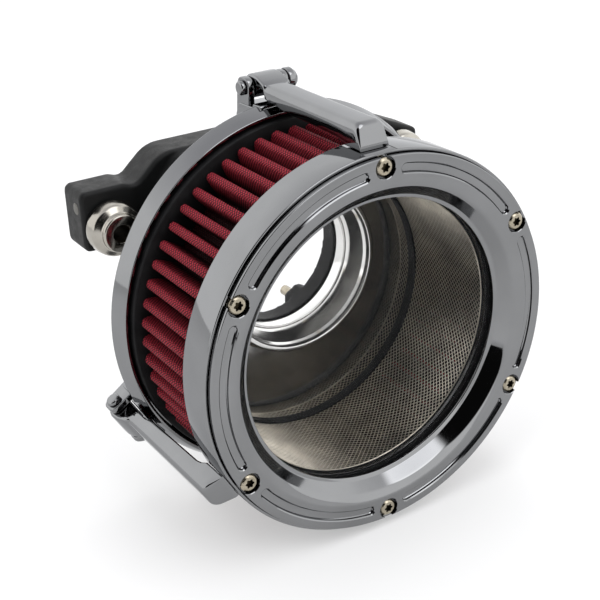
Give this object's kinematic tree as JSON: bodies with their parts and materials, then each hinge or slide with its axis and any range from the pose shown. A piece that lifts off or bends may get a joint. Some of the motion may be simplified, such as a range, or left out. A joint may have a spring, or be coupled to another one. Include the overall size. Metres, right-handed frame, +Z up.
{
  "type": "air filter",
  "caption": "Round motorcycle air filter: clear lens in a chrome front ring, red pleated element, chrome backplate with swing latches, black support bracket.",
  "frame": {"origin": "centre of the throat on the rear mounting plane of the support bracket", "axes": "+Y out of the rear of the throat towards the engine, the lens faces -Y, +Z up towards the top latch, +X to the right seen from the front"},
  "size_m": [0.1792, 0.126, 0.1864],
  "materials": {
    "chrome": "polished chrome plate",
    "nickel": "bright nickel plate",
    "screw_steel": "satin stainless steel",
    "screen_steel": "dull expanded steel mesh",
    "black_casting": "satin black powder coat",
    "black_rubber": "matte moulded rubber",
    "red_gauze": "oiled red cotton gauze",
    "clear_lens": "clear polished polycarbonate"
  },
  "bodies": {
    "housing": {"backplate": "chrome", "bezel_ring": "chrome", "front_cover": "chrome", "velocity_stack": "chrome", "hinge_pin_top": "chrome", "hinge_pin_lower_left": "chrome", "hinge_pin_lower_right": "chrome", "hinge_nut_top": "chrome", "hinge_nut_lower_left": "chrome", "hinge_nut_lower_right": "chrome", "breather_bolt_left": "nickel", "breather_bolt_right": "nickel", "bezel_screw_1": "screw_steel", "bezel_screw_2": "screw_steel", "bezel_screw_3": "screw_steel", "bezel_screw_4": "screw_steel", "bezel_screw_5": "screw_steel", "bezel_screw_6": "screw_steel", "throttle_screw_1": "screw_steel", "throttle_screw_2": "screw_steel", "throttle_screw_3": "screw_steel", "passage_plug_left": "screw_steel", "passage_plug_right": "screw_steel", "filter_screen": "screen_steel", "support_bracket": "black_casting", "filter_cap_front": "black_rubber", "filter_cap_rear": "black_rubber", "lens_gasket": "black_rubber", "screen_band": "black_rubber", "breather_washer_left": "black_rubber", "breather_washer_right": "black_rubber", "filter_media": "red_gauze", "lens": "clear_lens"},
    "latch_top": {"latch_arm_top": "chrome"},
    "latch_lower_left": {"latch_arm_lower_left": "chrome"},
    "latch_lower_right": {"latch_arm_lower_right": "chrome"}
  },
  "joints": [
    {"name": "latch_top_swing", "type": "hinge", "parent": "housing", "child": "latch_top", "pos_m": [0, -0.024, 0.0803], "axis": [-1, 0, 0], "range_deg": [0, 110]},
    {"name": "latch_lower_left_swing", "type": "hinge", "parent": "housing", "child": "latch_lower_left", "pos_m": [-0.08054, -0.024, -0.0592], "axis": [0.5, 0, -0.866], "range_deg": [0, 110]},
    {"name": "latch_lower_right_swing", "type": "hinge", "parent": "housing", "child": "latch_lower_right", "pos_m": [0.08054, -0.024, -0.0592], "axis": [0.5, 0, 0.866], "range_deg": [0, 110]}
  ]
}
